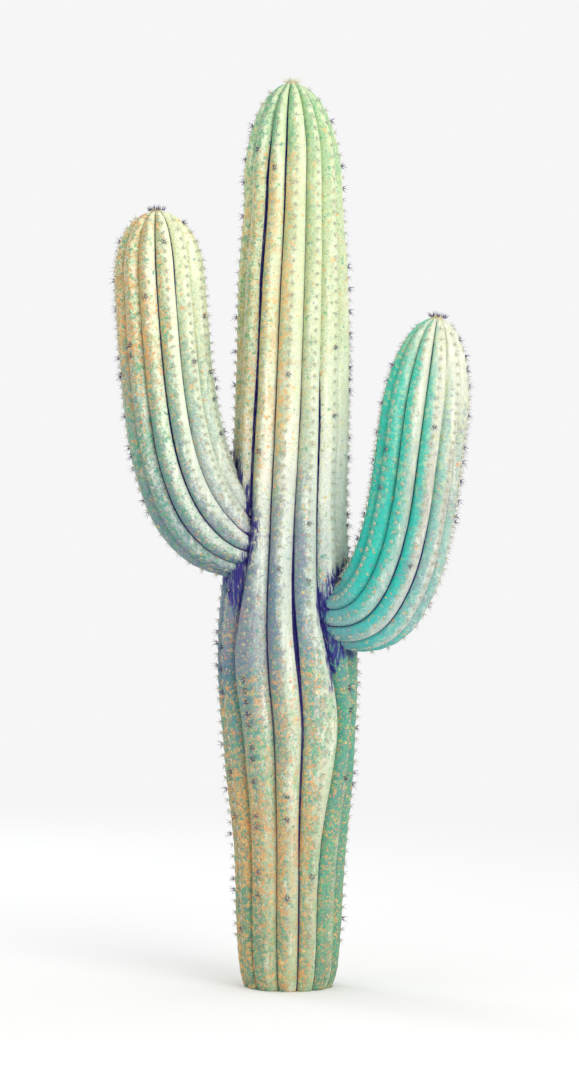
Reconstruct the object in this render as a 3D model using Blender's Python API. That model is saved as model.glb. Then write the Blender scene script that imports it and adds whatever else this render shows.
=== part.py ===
"""A saguaro cactus 4.5 m tall: one ribbed trunk and two ribbed arms that bend up beside it.

The trunk stands on a flat cut at ground level, and the origin is the middle of that cut. +Z is up and -Y is
the front. Each arm is two solids, split across its bend. Solids stand CLEAR of each other, and spines are
fused to the rib that carries them.
"""

import math

import bmesh
import bpy
from mathutils import Matrix, Vector

# Driving dimensions, in metres.
TRUNK_HEIGHT = 4.515
TRUNK_RADIUS = 0.353  # over the ribs, at the widest place, under the arms
ARM_RADIUS = 0.238  # over the ribs, above the bend
CLEAR = 0.0003  # between solids that touch on the plant

# A rib runs from valley to valley. RIB_STEPS faces cross it, and its side falls away by a power of the way.
RIB_STEPS = 6
RIB_POWER = 2.2
RIB_DEPTH = 0.145  # of the stem's radius
FOOT_RIB_DEPTH = 0.075
FOOT_HEIGHT = 0.9  # below this the trunk's ribs grow shallow

# Spines stand in threes on the ribs: one straight out, one leaning up and one leaning down.
SPINE_LENGTH = 0.042
SPINE_THICKNESS = 0.0034  # radius at the root
SPINE_ROOT = 0.008  # sunk into the rib
SPINE_LEANS = (-38.0, 4.0, 46.0)
SPINE_SPREAD = 0.0135  # between the feet of neighbouring spines
SPINE_SIDES = 3

# The trunk's radius over its ribs, as (share of the height, share of TRUNK_RADIUS), up to its dome.
TRUNK_PROFILE = (
    (0.0, 0.62),
    (0.018, 0.69),
    (0.06, 0.745),
    (0.15, 0.80),
    (0.25, 0.93),
    (0.33, 0.995),
    (0.39, 0.985),
    (0.46, 0.905),
    (0.54, 0.835),
    (0.64, 0.82),
    (0.77, 0.79),
    (0.87, 0.70),
)
TRUNK_DOME = 0.56  # height of the rounded top
TRUNK_DOME_POWER = 2.15
# How far the trunk's middle leans to +X, as (height, distance).
TRUNK_SWAY = ((0.0, -0.004), (1.2, 0.0), (2.0, -0.012), (2.7, 0.012), (3.6, 0.022), (4.5, 0.012))
TRUNK_RIBS = 13
# The direction of the first valley, as (height, degrees from +X), and how far each valley stands from even
# spacing, as (height, degrees for each valley in turn).
TRUNK_TWIST = ((1.3, -77.5), (2.3, -84.3), (2.9, -82.5), (3.4, -79.5), (3.75, -76.0), (4.2, -71.0))
TRUNK_DRIFT = (
    (0.5, (-1, -5, -2, 2, 0, 2, -1, 2, -2, 1, -3, -7, 0)),
    (1.25, (-2, 5, 2, -1, 1, 0, -2, 2, -1, 1, -2, -6, 0)),
    (2.9, (2, -4, -5, 0, 2, -1, 2, -2, 1, 0, 2, 4, 0)),
)
# Heights at which the spacing of the trunk's rings changes, and the rings in each stretch.
TRUNK_STRETCHES = ((0.0, 0), (0.03, 1), (0.09, 1), (0.2, 1), (1.15, 5), (2.5, 10), (3.955, 6))
TRUNK_DOME_RINGS = 8

# The trunk's ribs part beside the foot of an arm and draw together under it.
RIB_PARTING = 6.0
RIB_PINCH = 9.0
RIB_FLOW_WIDTH = 23.0
RIB_FLOW_HEIGHT = 0.3
PINCH_DROP = 0.6  # from the arm's foot down to where the ribs are closest

# An arm's middle line is (out, up) in metres, out from the trunk's axis and up from the arm's foot. Its
# radii over the ribs are (share of the length, share of ARM_RADIUS).
LEFT_ARM = {
    "name": "left_arm",
    "foot_height": 2.20,
    "heading": 192.0,
    "ribs": 13,
    "valley": 48.0,
    "line": (
        (0.06, 0.0),
        (0.27, 0.025),
        (0.44, 0.18),
        (0.548, 0.42),
        (0.61, 0.75),
        (0.655, 1.25),
        (0.675, 1.66),
    ),
    "radii": ((0.0, 0.66), (0.07, 0.7), (0.16, 0.94), (0.23, 1.02), (0.35, 1.02), (0.5, 0.98), (1.0, 0.93)),
    "dome": 0.37,
    "dome_power": 2.5,
    "split": 0.40,
}
RIGHT_ARM = {
    "name": "right_arm",
    "foot_height": 1.90,
    "heading": -25.0,
    "ribs": 12,
    "valley": -38.0,
    "line": (
        (0.06, 0.03),
        (0.30, -0.035),
        (0.45, 0.008),
        (0.563, 0.16),
        (0.648, 0.42),
        (0.708, 0.80),
        (0.798, 1.418),
    ),
    "radii": ((0.0, 0.62), (0.1, 0.68), (0.21, 0.93), (0.31, 0.96), (0.45, 0.95), (0.8, 0.92), (1.0, 0.91)),
    "dome": 0.52,
    "dome_power": 2.05,
    "split": 0.42,
}
ARM_HIDDEN = 0.08  # the share of an arm that certainly lies inside the trunk
ELBOW_RINGS = 9
UPRIGHT_RINGS = 6
ARM_DOME_RINGS = 7
LINE_SAMPLES = 160

# Rows of spines: the places along a stem, as a share of its length, staggered from rib to rib.
TRUNK_TUFTS = 4
ARM_TUFTS = 3
TUFT_STAGGER = (0.0, 0.55, 0.25, 0.8)
TUFT_START = 0.13
TUFT_END = 0.9
TUFT_ROOM = 0.09  # bare rib beside another limb
TUFT_MARGIN = 0.06  # bare share of an arm at each end of its elbow and of its upright
NUDGE = 0.005  # the share of a stem over which its slope is taken
CROWN_SPINES = 6  # round each tip
CROWN_RADIUS = 0.018
CROWN_LEAN = 35.0

# Base colours, linear.
TRUNK_GREEN = (0.42, 0.56, 0.36, 1.0)
LEFT_ARM_GREEN = (0.50, 0.62, 0.38, 1.0)
RIGHT_ARM_GREEN = (0.30, 0.60, 0.43, 1.0)
SKIN_ROUGHNESS = 0.6
SHARP_ANGLE = 38.0


def smooth_step(low, high, value):
    share = min(1.0, max(0.0, (value - low) / (high - low)))
    return share * share * (3 - 2 * share)


def through(points, at):
    """The value at a place on the smooth curve through (place, value) points, flat beyond both ends."""
    if at <= points[0][0]:
        return points[0][1]
    if at >= points[-1][0]:
        return points[-1][1]
    last = len(points) - 1
    k = next(i for i in range(last) if at <= points[i + 1][0])
    (low, value), (high, next_value) = points[k], points[k + 1]

    def slope(i):
        before, after = points[max(i - 1, 0)], points[min(i + 1, last)]
        return (after[1] - before[1]) / (after[0] - before[0])

    width = high - low
    t = (at - low) / width
    rise = next_value - value
    start, end = slope(k) * width, slope(k + 1) * width
    return value + t * start + t * t * (3 * rise - 2 * start - end) + t**3 * (start + end - 2 * rise)


def line_through(points, samples):
    """Points evenly spaced along the smooth curve through a few (out, up) points."""
    reach = [0.0]
    for a, b in zip(points, points[1:]):
        reach.append(reach[-1] + math.dist(a, b))
    outs = [(r, p[0]) for r, p in zip(reach, points)]
    ups = [(r, p[1]) for r, p in zip(reach, points)]
    steps = [reach[-1] * i / samples for i in range(samples + 1)]
    return [(through(outs, step), through(ups, step)) for step in steps]


def dome(rings, power):
    """(share of the dome's height, share of its radius) of its rings, from its foot to just under its tip."""
    found = []
    for k in range(1, rings + 1):
        height = math.sin(math.radians(90.0) * k / (rings + 0.35))
        found.append((height, (1 - height**power) ** 0.5))
    return found


def rib_fall(across):
    """How far the surface lies under the crest, 1 being the valley. across runs from -1 to 1 over a rib."""
    return abs(across) ** RIB_POWER


def ring_columns(ribs):
    """(rib's number, place across it) for each point round a stem, starting in a valley."""
    return [(rib, 2.0 * step / RIB_STEPS - 1.0) for rib in range(ribs) for step in range(RIB_STEPS)]


def skin(name, rings, tip):
    """A closed mesh through rings of points, flat at its foot, and pointed at tip or flat there too."""
    bm = bmesh.new()
    made = [[bm.verts.new(p) for p in ring] for ring in rings]
    count = len(rings[0])
    for low, high in zip(made, made[1:]):
        for i in range(count):
            j = (i + 1) % count
            bm.faces.new((low[i], low[j], high[j], high[i]))
    bm.faces.new(made[0][::-1])
    if tip is None:
        bm.faces.new(made[-1])
    else:
        apex = bm.verts.new(tip)
        for i in range(count):
            bm.faces.new((made[-1][i], made[-1][(i + 1) % count], apex))
    bmesh.ops.recalc_face_normals(bm, faces=bm.faces)
    # Triangles, so that a cutter's faces and the trunk's own stay parallel.
    bmesh.ops.triangulate(bm, faces=bm.faces)
    mesh = bpy.data.meshes.new(name)
    bm.to_mesh(mesh)
    bm.free()
    return mesh


# The trunk.


def trunk_radius(height):
    return TRUNK_RADIUS * through(TRUNK_PROFILE, height / TRUNK_HEIGHT)


def trunk_middle(height):
    return through(TRUNK_SWAY, height)


def trunk_rib_depth(height):
    return FOOT_RIB_DEPTH + (RIB_DEPTH - FOOT_RIB_DEPTH) * smooth_step(0.0, FOOT_HEIGHT, height)


def rib_flow(angle, height):
    """How far, in degrees, the arms turn a rib that would stand at this angle."""
    turn = 0.0
    for arm in (LEFT_ARM, RIGHT_ARM):
        aside = (angle - arm["heading"] + 180.0) % 360.0 - 180.0
        way = aside / RIB_FLOW_WIDTH
        side = way * math.exp(0.5 * (1 - way * way))
        above = (height - arm["foot_height"]) / RIB_FLOW_HEIGHT
        below = (height - arm["foot_height"] + PINCH_DROP) / RIB_FLOW_HEIGHT
        turn += side * (RIB_PARTING * math.exp(-above * above) - RIB_PINCH * math.exp(-below * below))
    return turn


def trunk_valley(number, height):
    """The direction of a valley, in degrees from +X."""
    drift = through([(level, drifts[number % TRUNK_RIBS]) for level, drifts in TRUNK_DRIFT], height)
    angle = through(TRUNK_TWIST, height) + 360.0 * number / TRUNK_RIBS + drift
    return angle + rib_flow(angle, height)


def trunk_angle(rib, across, height):
    """The direction of a place on a rib, in degrees from +X."""
    low, high = trunk_valley(rib, height), trunk_valley(rib + 1, height)
    return low + (high - low) * 0.5 * (across + 1.0)


def trunk_point(rib, across, height, radius, proud=0.0):
    angle = math.radians(trunk_angle(rib, across, height))
    out = radius * (1 - trunk_rib_depth(height) * rib_fall(across)) + proud
    return Vector((trunk_middle(height) + out * math.cos(angle), out * math.sin(angle), height))


def trunk_levels():
    """(height, radius over the ribs) of each ring, from the ground to just under the tip."""
    heights = [0.0]
    for (low, _), (high, count) in zip(TRUNK_STRETCHES, TRUNK_STRETCHES[1:]):
        heights += [low + (high - low) * (k + 1) / count for k in range(count)]
    levels = [(height, trunk_radius(height)) for height in heights]
    crown = trunk_radius(heights[-1])
    foot = TRUNK_HEIGHT - TRUNK_DOME
    levels += [(foot + TRUNK_DOME * h, crown * r) for h, r in dome(TRUNK_DOME_RINGS, TRUNK_DOME_POWER)]
    return levels


def trunk_mesh(name, proud=0.0):
    columns = ring_columns(TRUNK_RIBS)
    rings = [
        [trunk_point(rib, across, height, radius, proud) for rib, across in columns]
        for height, radius in trunk_levels()
    ]
    return skin(name, rings, Vector((trunk_middle(TRUNK_HEIGHT), 0.0, TRUNK_HEIGHT + proud)))


# The arms. Each is made in its own upright plane, out along +X, and turned to its heading.


def arm_sections(arm):
    """(share of the length, middle, way along, radius over the ribs) of an arm, evenly spaced."""
    line = line_through(arm["line"], LINE_SAMPLES)
    reach = [0.0]
    for a, b in zip(line, line[1:]):
        reach.append(reach[-1] + math.dist(a, b))
    whole = reach[-1]
    sections = []
    for i, (out, up) in enumerate(line):
        before, after = line[max(i - 1, 0)], line[min(i + 1, LINE_SAMPLES)]
        way = Vector((after[0] - before[0], 0.0, after[1] - before[1])).normalized()
        share = reach[i] / whole
        radius = ARM_RADIUS * through(arm["radii"], share)
        left = (share - 1.0) * whole / arm["dome"] + 1.0
        if left > 0.0:
            radius *= max(0.0, 1 - left ** arm["dome_power"]) ** 0.5
        sections.append((share, Vector((out, 0.0, up)), way, radius))
    return sections, whole


def section_at(sections, share):
    """The middle, way along and radius at a share of the arm's length."""
    k = min(LINE_SAMPLES - 1, int(share * LINE_SAMPLES))
    while k > 0 and sections[k][0] > share:
        k -= 1
    while k < LINE_SAMPLES - 1 and sections[k + 1][0] < share:
        k += 1
    low, high = sections[k], sections[k + 1]
    mix = (share - low[0]) / (high[0] - low[0])
    middle, way = low[1].lerp(high[1], mix), low[2].lerp(high[2], mix).normalized()
    return middle, way, low[3] + (high[3] - low[3]) * mix


def arm_point(arm, sections, rib, across, share):
    middle, way, radius = section_at(sections, share)
    outer = Vector((way.z, 0.0, -way.x))
    angle = math.radians(arm["valley"] + 360.0 * (rib + 0.5 * (across + 1.0)) / arm["ribs"])
    out = radius * (1 - RIB_DEPTH * rib_fall(across))
    return middle + out * (math.cos(angle) * outer + math.sin(angle) * Vector((0.0, 1.0, 0.0)))


def arm_mesh(arm, name, shares, pointed):
    sections, _ = arm_sections(arm)
    columns = ring_columns(arm["ribs"])
    rings = [[arm_point(arm, sections, rib, across, share) for rib, across in columns] for share in shares]
    return skin(name, rings, sections[-1][1] if pointed else None)


def arm_shares(arm):
    """Where the rings of the elbow and of the upright lie along the arm."""
    _, whole = arm_sections(arm)
    split = arm["split"]
    dome_foot = 1 - arm["dome"] / whole
    elbow = [0.0]
    elbow += [ARM_HIDDEN + (split - ARM_HIDDEN) * k / ELBOW_RINGS for k in range(ELBOW_RINGS + 1)]
    start = split + CLEAR / whole
    upright = [start + (dome_foot - start) * k / UPRIGHT_RINGS for k in range(UPRIGHT_RINGS + 1)]
    rounded = dome(ARM_DOME_RINGS, arm["dome_power"])
    upright += [dome_foot + (1 - dome_foot) * height for height, _ in rounded]
    return elbow, upright


def arm_to_world(arm):
    lift = Matrix.Translation((0.0, 0.0, arm["foot_height"]))
    return lift @ Matrix.Rotation(math.radians(arm["heading"]), 4, "Z")


# Spines.


def add_spine(bm, foot, way, aside):
    """A spine from a foot on the surface along way, with its root sunk in. aside is square to way."""
    length = SPINE_LENGTH + SPINE_ROOT
    turn = Matrix((aside, way.cross(aside), way)).transposed().to_4x4()
    middle = foot + way * (length / 2 - SPINE_ROOT)
    bmesh.ops.create_cone(
        bm,
        cap_ends=True,
        segments=SPINE_SIDES,
        radius1=SPINE_THICKNESS,
        radius2=0.0,
        depth=length,
        matrix=Matrix.Translation(middle) @ turn,
    )


def add_tuft(bm, foot, out, along):
    """Three spines on one spot of a rib. out leads away from the rib there, and along leads up it."""
    aside = out.cross(along).normalized()
    for k, lean in enumerate(SPINE_LEANS):
        turn = math.radians(lean)
        way = (out * math.cos(turn) + along * math.sin(turn)).normalized()
        add_spine(bm, foot + along * SPINE_SPREAD * (k - 1), way, aside)


def add_crown(bm, tip):
    """Spines that spread round a tip. Every stem ends so nearly upright that they lean from +Z."""
    lean = math.radians(CROWN_LEAN)
    for k in range(CROWN_SPINES):
        turn = 2 * math.pi * k / CROWN_SPINES
        out = Vector((math.cos(turn), math.sin(turn), 0.0))
        way = out * math.sin(lean) + Vector((0.0, 0.0, math.cos(lean)))
        add_spine(bm, tip + out * CROWN_RADIUS, way, Vector((-math.sin(turn), math.cos(turn), 0.0)))


def tuft_shares(rib, count):
    """Where the tufts of a rib stand, as shares of the stem's length."""
    shift = TUFT_STAGGER[rib % len(TUFT_STAGGER)]
    return [TUFT_START + (TUFT_END - TUFT_START) * (k + shift) / count for k in range(count)]


def near_arm(point, room):
    """Whether a point of the trunk lies within this room of an arm."""
    for arm in (LEFT_ARM, RIGHT_ARM):
        turn = arm_to_world(arm)
        sections, _ = arm_sections(arm)
        if any((turn @ middle - point).length < radius + room for _, middle, _, radius in sections):
            return True
    return False


def near_trunk(point, room):
    """Whether a point of an arm lies within this room of the trunk."""
    middle = Vector((trunk_middle(point.z), 0.0, point.z))
    return (point - middle).length < trunk_radius(point.z) + room


def trunk_spines(name):
    bm = bmesh.new()
    top = 1 - TRUNK_DOME / TRUNK_HEIGHT - NUDGE
    for rib in range(TRUNK_RIBS):
        for share in tuft_shares(rib, TRUNK_TUFTS):
            height = TRUNK_HEIGHT * min(share, top)
            higher = height + TRUNK_HEIGHT * NUDGE
            foot = trunk_point(rib, 0.0, height, trunk_radius(height))
            above = trunk_point(rib, 0.0, higher, trunk_radius(higher))
            if near_arm(foot, TUFT_ROOM):
                continue
            angle = math.radians(trunk_angle(rib, 0.0, height))
            add_tuft(bm, foot, Vector((math.cos(angle), math.sin(angle), 0.0)), (above - foot).normalized())
    add_crown(bm, Vector((trunk_middle(TRUNK_HEIGHT), 0.0, TRUNK_HEIGHT)))
    return spines_mesh(name, bm)


def arm_spines(arm, name, low, high, pointed):
    """The spines of the part of an arm between two shares of its length, in the arm's own frame."""
    sections, _ = arm_sections(arm)
    to_world = arm_to_world(arm)
    bm = bmesh.new()
    for rib in range(arm["ribs"]):
        for share in tuft_shares(rib, ARM_TUFTS):
            if not low + TUFT_MARGIN < share < high - TUFT_MARGIN:
                continue
            foot = arm_point(arm, sections, rib, 0.0, share)
            if near_trunk(to_world @ foot, TUFT_ROOM):
                continue
            middle, _, _ = section_at(sections, share)
            along = (arm_point(arm, sections, rib, 0.0, share + NUDGE) - foot).normalized()
            out = foot - middle
            out = (out - out.dot(along) * along).normalized()
            add_tuft(bm, foot, out, along)
    if pointed:
        add_crown(bm, sections[-1][1])
    return spines_mesh(name, bm)


def spines_mesh(name, bm):
    mesh = bpy.data.meshes.new(name)
    bm.to_mesh(mesh)
    bm.free()
    return mesh


# Objects.


def material(name, colour):
    made = bpy.data.materials.new(name)
    made.use_nodes = True
    shader = made.node_tree.nodes["Principled BSDF"]
    shader.inputs["Base Color"].default_value = colour
    shader.inputs["Roughness"].default_value = SKIN_ROUGHNESS
    shader.inputs["Metallic"].default_value = 0.0
    return made


def place(mesh, name, paint=None, parent=None):
    obj = bpy.data.objects.new(name, mesh)
    bpy.context.scene.collection.objects.link(obj)
    obj.parent = parent
    if paint:
        mesh.materials.append(paint)
    return obj


def helper(obj):
    obj.hide_render = True
    obj.display_type = "WIRE"
    return obj


def boolean(obj, other, operation, solver="EXACT"):
    """Cuts or joins obj with other for good."""
    modifier = obj.modifiers.new(operation.lower(), "BOOLEAN")
    modifier.operation = operation
    modifier.solver = solver
    modifier.object = other
    bpy.context.view_layer.update()
    graph = bpy.context.evaluated_depsgraph_get()
    mesh = bpy.data.meshes.new_from_object(obj.evaluated_get(graph))
    obj.modifiers.clear()
    obj.data = mesh


def smooth(obj):
    obj.data.shade_smooth()
    obj.data.set_sharp_from_angle(angle=math.radians(SHARP_ANGLE))


def build_trunk():
    trunk = place(trunk_mesh("trunk"), "trunk", material("trunk_skin", TRUNK_GREEN))
    spines = helper(place(trunk_spines("trunk_spines"), "trunk_spines"))
    boolean(trunk, spines, "UNION")
    bpy.data.objects.remove(spines)
    smooth(trunk)
    return trunk


def build_arm(arm, colour, trunk, cutter):
    """The elbow, cut to the trunk's ribs, and the upright that stands on it."""
    paint = material(arm["name"] + "_skin", colour)
    elbow_shares, upright_shares = arm_shares(arm)
    for piece, shares, pointed in (("elbow", elbow_shares, False), ("upright", upright_shares, True)):
        name = arm["name"] + "_" + piece
        obj = place(arm_mesh(arm, name, shares, pointed), name, paint, trunk)
        spine_name = name + "_spines"
        mesh = arm_spines(arm, spine_name, shares[0], shares[-1], pointed)
        spines = helper(place(mesh, spine_name, None, trunk))
        for each in (obj, spines):
            each.location = (0.0, 0.0, arm["foot_height"])
            each.rotation_euler = (0.0, 0.0, math.radians(arm["heading"]))
        boolean(obj, cutter, "DIFFERENCE")
        boolean(obj, spines, "UNION")
        bpy.data.objects.remove(spines)
        smooth(obj)


def main():
    for obj in list(bpy.data.objects):
        bpy.data.objects.remove(obj, do_unlink=True)
    trunk = build_trunk()
    cutter = helper(place(trunk_mesh("trunk_room", 2 * CLEAR), "trunk_room"))
    build_arm(LEFT_ARM, LEFT_ARM_GREEN, trunk, cutter)
    build_arm(RIGHT_ARM, RIGHT_ARM_GREEN, trunk, cutter)
    bpy.data.objects.remove(cutter)


main()
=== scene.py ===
"""The looks of the saguaro: ribbed skin with creases, areoles, spines and woolly tips, on a pale floor."""

import math
from functools import partial

import bpy
import numpy as np
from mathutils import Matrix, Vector, noise


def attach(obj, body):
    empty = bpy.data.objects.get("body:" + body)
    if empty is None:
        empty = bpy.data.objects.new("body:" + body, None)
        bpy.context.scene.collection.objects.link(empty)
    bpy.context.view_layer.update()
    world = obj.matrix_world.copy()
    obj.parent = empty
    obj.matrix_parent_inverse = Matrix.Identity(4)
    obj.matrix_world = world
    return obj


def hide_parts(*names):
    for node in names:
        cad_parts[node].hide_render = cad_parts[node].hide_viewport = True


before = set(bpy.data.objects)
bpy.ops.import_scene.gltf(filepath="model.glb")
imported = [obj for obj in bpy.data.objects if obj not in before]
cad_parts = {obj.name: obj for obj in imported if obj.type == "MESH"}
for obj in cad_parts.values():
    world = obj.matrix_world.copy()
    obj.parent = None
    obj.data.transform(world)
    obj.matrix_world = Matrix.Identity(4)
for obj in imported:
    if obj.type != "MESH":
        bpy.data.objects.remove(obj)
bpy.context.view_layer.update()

# Sizes of the solids, in metres, as their source states them.
TRUNK_HEIGHT = 4.515
TRUNK_RADIUS = 0.353
ARM_RADIUS = 0.238
RIB_POWER = 2.2
RIB_DEPTH = 0.145
FOOT_RIB_DEPTH = 0.075
FOOT_HEIGHT = 0.9
TRUNK_PROFILE = (
    (0.0, 0.62), (0.018, 0.69), (0.06, 0.745), (0.15, 0.80), (0.25, 0.93), (0.33, 0.995), (0.39, 0.985),
    (0.46, 0.905), (0.54, 0.835), (0.64, 0.82), (0.77, 0.79), (0.87, 0.70),
)
TRUNK_DOME = 0.56
TRUNK_DOME_POWER = 2.15
TRUNK_SWAY = ((0.0, -0.004), (1.2, 0.0), (2.0, -0.012), (2.7, 0.012), (3.6, 0.022), (4.5, 0.012))
TRUNK_RIBS = 13
TRUNK_TWIST = ((1.3, -77.5), (2.3, -84.3), (2.9, -82.5), (3.4, -79.5), (3.75, -76.0), (4.2, -71.0))
TRUNK_DRIFT = (
    (0.5, (-1, -5, -2, 2, 0, 2, -1, 2, -2, 1, -3, -7, 0)),
    (1.25, (-2, 5, 2, -1, 1, 0, -2, 2, -1, 1, -2, -6, 0)),
    (2.9, (2, -4, -5, 0, 2, -1, 2, -2, 1, 0, 2, 4, 0)),
)
RIB_PARTING = 6.0
RIB_PINCH = 9.0
RIB_FLOW_WIDTH = 23.0
RIB_FLOW_HEIGHT = 0.3
PINCH_DROP = 0.6
LEFT_ARM = {
    "name": "left_arm",
    "foot_height": 2.20,
    "heading": 192.0,
    "front": 1,  # its side towards the viewer has the larger angles
    "ribs": 13,
    "valley": 48.0,
    "line": (
        (0.06, 0.0), (0.27, 0.025), (0.44, 0.18), (0.548, 0.42), (0.61, 0.75), (0.655, 1.25),
        (0.675, 1.66),
    ),
    "radii": ((0.0, 0.66), (0.07, 0.7), (0.16, 0.94), (0.23, 1.02), (0.35, 1.02), (0.5, 0.98), (1.0, 0.93)),
    "dome": 0.37,
    "dome_power": 2.5,
}
RIGHT_ARM = {
    "name": "right_arm",
    "foot_height": 1.90,
    "heading": -25.0,
    "front": -1,  # has the smaller ones
    "ribs": 12,
    "valley": -38.0,
    "line": (
        (0.06, 0.03), (0.30, -0.035), (0.45, 0.008), (0.563, 0.16), (0.648, 0.42), (0.708, 0.80),
        (0.798, 1.418),
    ),
    "radii": ((0.0, 0.62), (0.1, 0.68), (0.21, 0.93), (0.31, 0.96), (0.45, 0.95), (0.8, 0.92), (1.0, 0.91)),
    "dome": 0.52,
    "dome_power": 2.05,
}
ARMS = (LEFT_ARM, RIGHT_ARM)
LINE_SAMPLES = 160

# How finely the skins are meshed.
TRUNK_COLUMNS = 18  # to a rib
TRUNK_ROWS = 415
ARM_COLUMNS = 16
ARM_ROWS = 215
COLUMN_CROWDING = 0.35  # beside a crease
ROW_CROWDING = 1.6  # a power, towards the tip
EVEN_ROWS = 0.82  # the share of them that stays even
ARM_HIDDEN = 0.05  # share of an arm that isn't made, in the trunk
FOOT_SHALLOW = 0.5  # share of their depth that an arm's ribs have at its foot
FOOT_SPAN = (0.06, 0.34)  # shares of the arm between which they deepen
MEAN_RADIUS = 0.4  # as a share of the ribs' depth under their tops
MAP_CORNER = 0.03  # of the texture map, kept for the flat foot of a skin

# Relief of the skin, in metres.
CREASE_DEPTH = 0.014
CREASE_WAVES = (2.1, 0.45)  # (waves to a metre, share of its depth)
CREASE_WIDTH = 0.10  # as a share of half a rib
SWELL = 0.0035  # of the rib under each areole
SWELL_LEVEL = 0.75  # the share of it that lies below the rib
SWELL_WIDTH = 0.34
CREST_WIDTH = 0.3  # of the felted band along a rib
LUMPS = ((1.3, 0.007), (5.5, 0.003), (17.0, 0.0011))  # (waves to a metre, height)
CORK_LUMPS = (26.0, 0.0035)
CORK = {"heights": (1.35, 0.15), "level": 0.85, "varies": 0.9, "waves": 3.2, "flank": 0.5, "covers": 0.6}
SLIM = 0.12  # the relief fades where a stem is slimmer than this
TIP_STEP = 0.2  # the skin closes this share of a row over its last one
# Painted shade in the fold where an arm leaves the trunk, and painted shadow under each arm.
JOINT_WIDTH = {"trunk": 0.042, "arm": 0.018}  # of the dark painted shade in the fold where an arm leaves the trunk
FOLD_TOP = -0.03  # the painted shadow under an arm runs from this far over the arm's foot
FOLD_DROP = 0.44  # down by this much, to a point
FOLD_ASIDE = 29.0  # that stands this many degrees beside the arm
FOLD_SPREAD = 7.0  # degrees that its top reaches beyond that
FOLD_SIDES = (-2.5, 3.5)  # degrees inside its sides where it darkens
FOLD_ENDS = ((0.0, 0.15), (1.3, 1.0))  # shares of its height where its ends do

# Areoles and spines, in metres.
AREOLE_GAP = {"trunk": 0.056, "left_arm": 0.047, "right_arm": 0.047}
AREOLE_SHIFT = {"odd": 0.5, "varies": 0.13, "turn": 2.7}  # of a rib, in gaps
AREOLE_SIZE = 0.0062
LIMB_ROOM = 0.025  # no areole stands this close to another limb
FIRST_AREOLE = 0.07
LAST_AREOLE = 0.03  # under the tip
TUFT_CHANCE = 0.03  # of an areole with dark spines
SIDE_TUFTS = (0.2, 6)  # (chance, power) added towards the two sides of the plant
TUFT_ROW = {"rib": 11, "heights": (0.35, 1.55), "chance": 0.5}  # the trunk's rib with the most dark spines
SPINE_KINDS = {  # (number, length) of the spines spread over the skin and standing out from it
    "pale": {"spread": (10, 0.017), "out": (1, 0.018), "radius": 0.0009},
    "grey": {"spread": (0, 0.0), "out": (4, 0.029), "radius": 0.0011},
    "dark": {"spread": (8, 0.022), "out": (7, 0.038), "radius": 0.0013},
}
SPINE_LIFTS = {"spread": (12, 38), "out": (30, 80)}  # degrees that they rise from the skin
SPINE_LENGTHS = (0.6, 1.15)  # shares of the length
SPINE_STRAY = 0.05  # of a turn, from an even ring
SPINE_ROOT = 0.001  # over the rib
SPINE_BEND = 0.18
SPINE_TAPER = 0.65  # share of its thickness half-way
FELT_SIDES = 8
FELT_SIZES = (0.8, 1.25)
FELT_STRETCH = 1.3  # along the rib
FELT_RINGS = ((1.0, -0.002), (0.62, 0.0028))  # (share of the size, height)
FELT_HEIGHT = 0.0042

# Woolly tips.
WOOL_RADIUS = 0.042
WOOL_HEIGHT = 0.014
WOOL_DROP = 0.024
WOOL_RINGS = 12
WOOL_SIDES = 40
WOOL_LUMPS = {"spread": 2.4, "seed": 3.0, "waves": 1.6, "height": 0.007, "aside": 0.12}
WOOL_FLUFF = (130.0, 0.0035)  # (waves to a metre, height)
WOOL_SPINES = 120
ARM_TIP_SPINES = 80
TIP_SPINE_LENGTH = 0.024
TIP_SPINE_LENGTHS = (0.5, 1.2)  # shares of that
TIP_SPINE_LEAN = ((0.1, 0.9), (-0.2, 0.2))  # radians: at the rim, and added anywhere

SEED = 7


def srgb(*values):
    """A linear colour from red, green and blue from 0 to 255 as a screen shows them."""
    shares = [value / 255 for value in values]
    linear = [share / 12.92 if share <= 0.04045 else ((share + 0.055) / 1.055) ** 2.4 for share in shares]
    return (*linear, 1.0)
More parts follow.
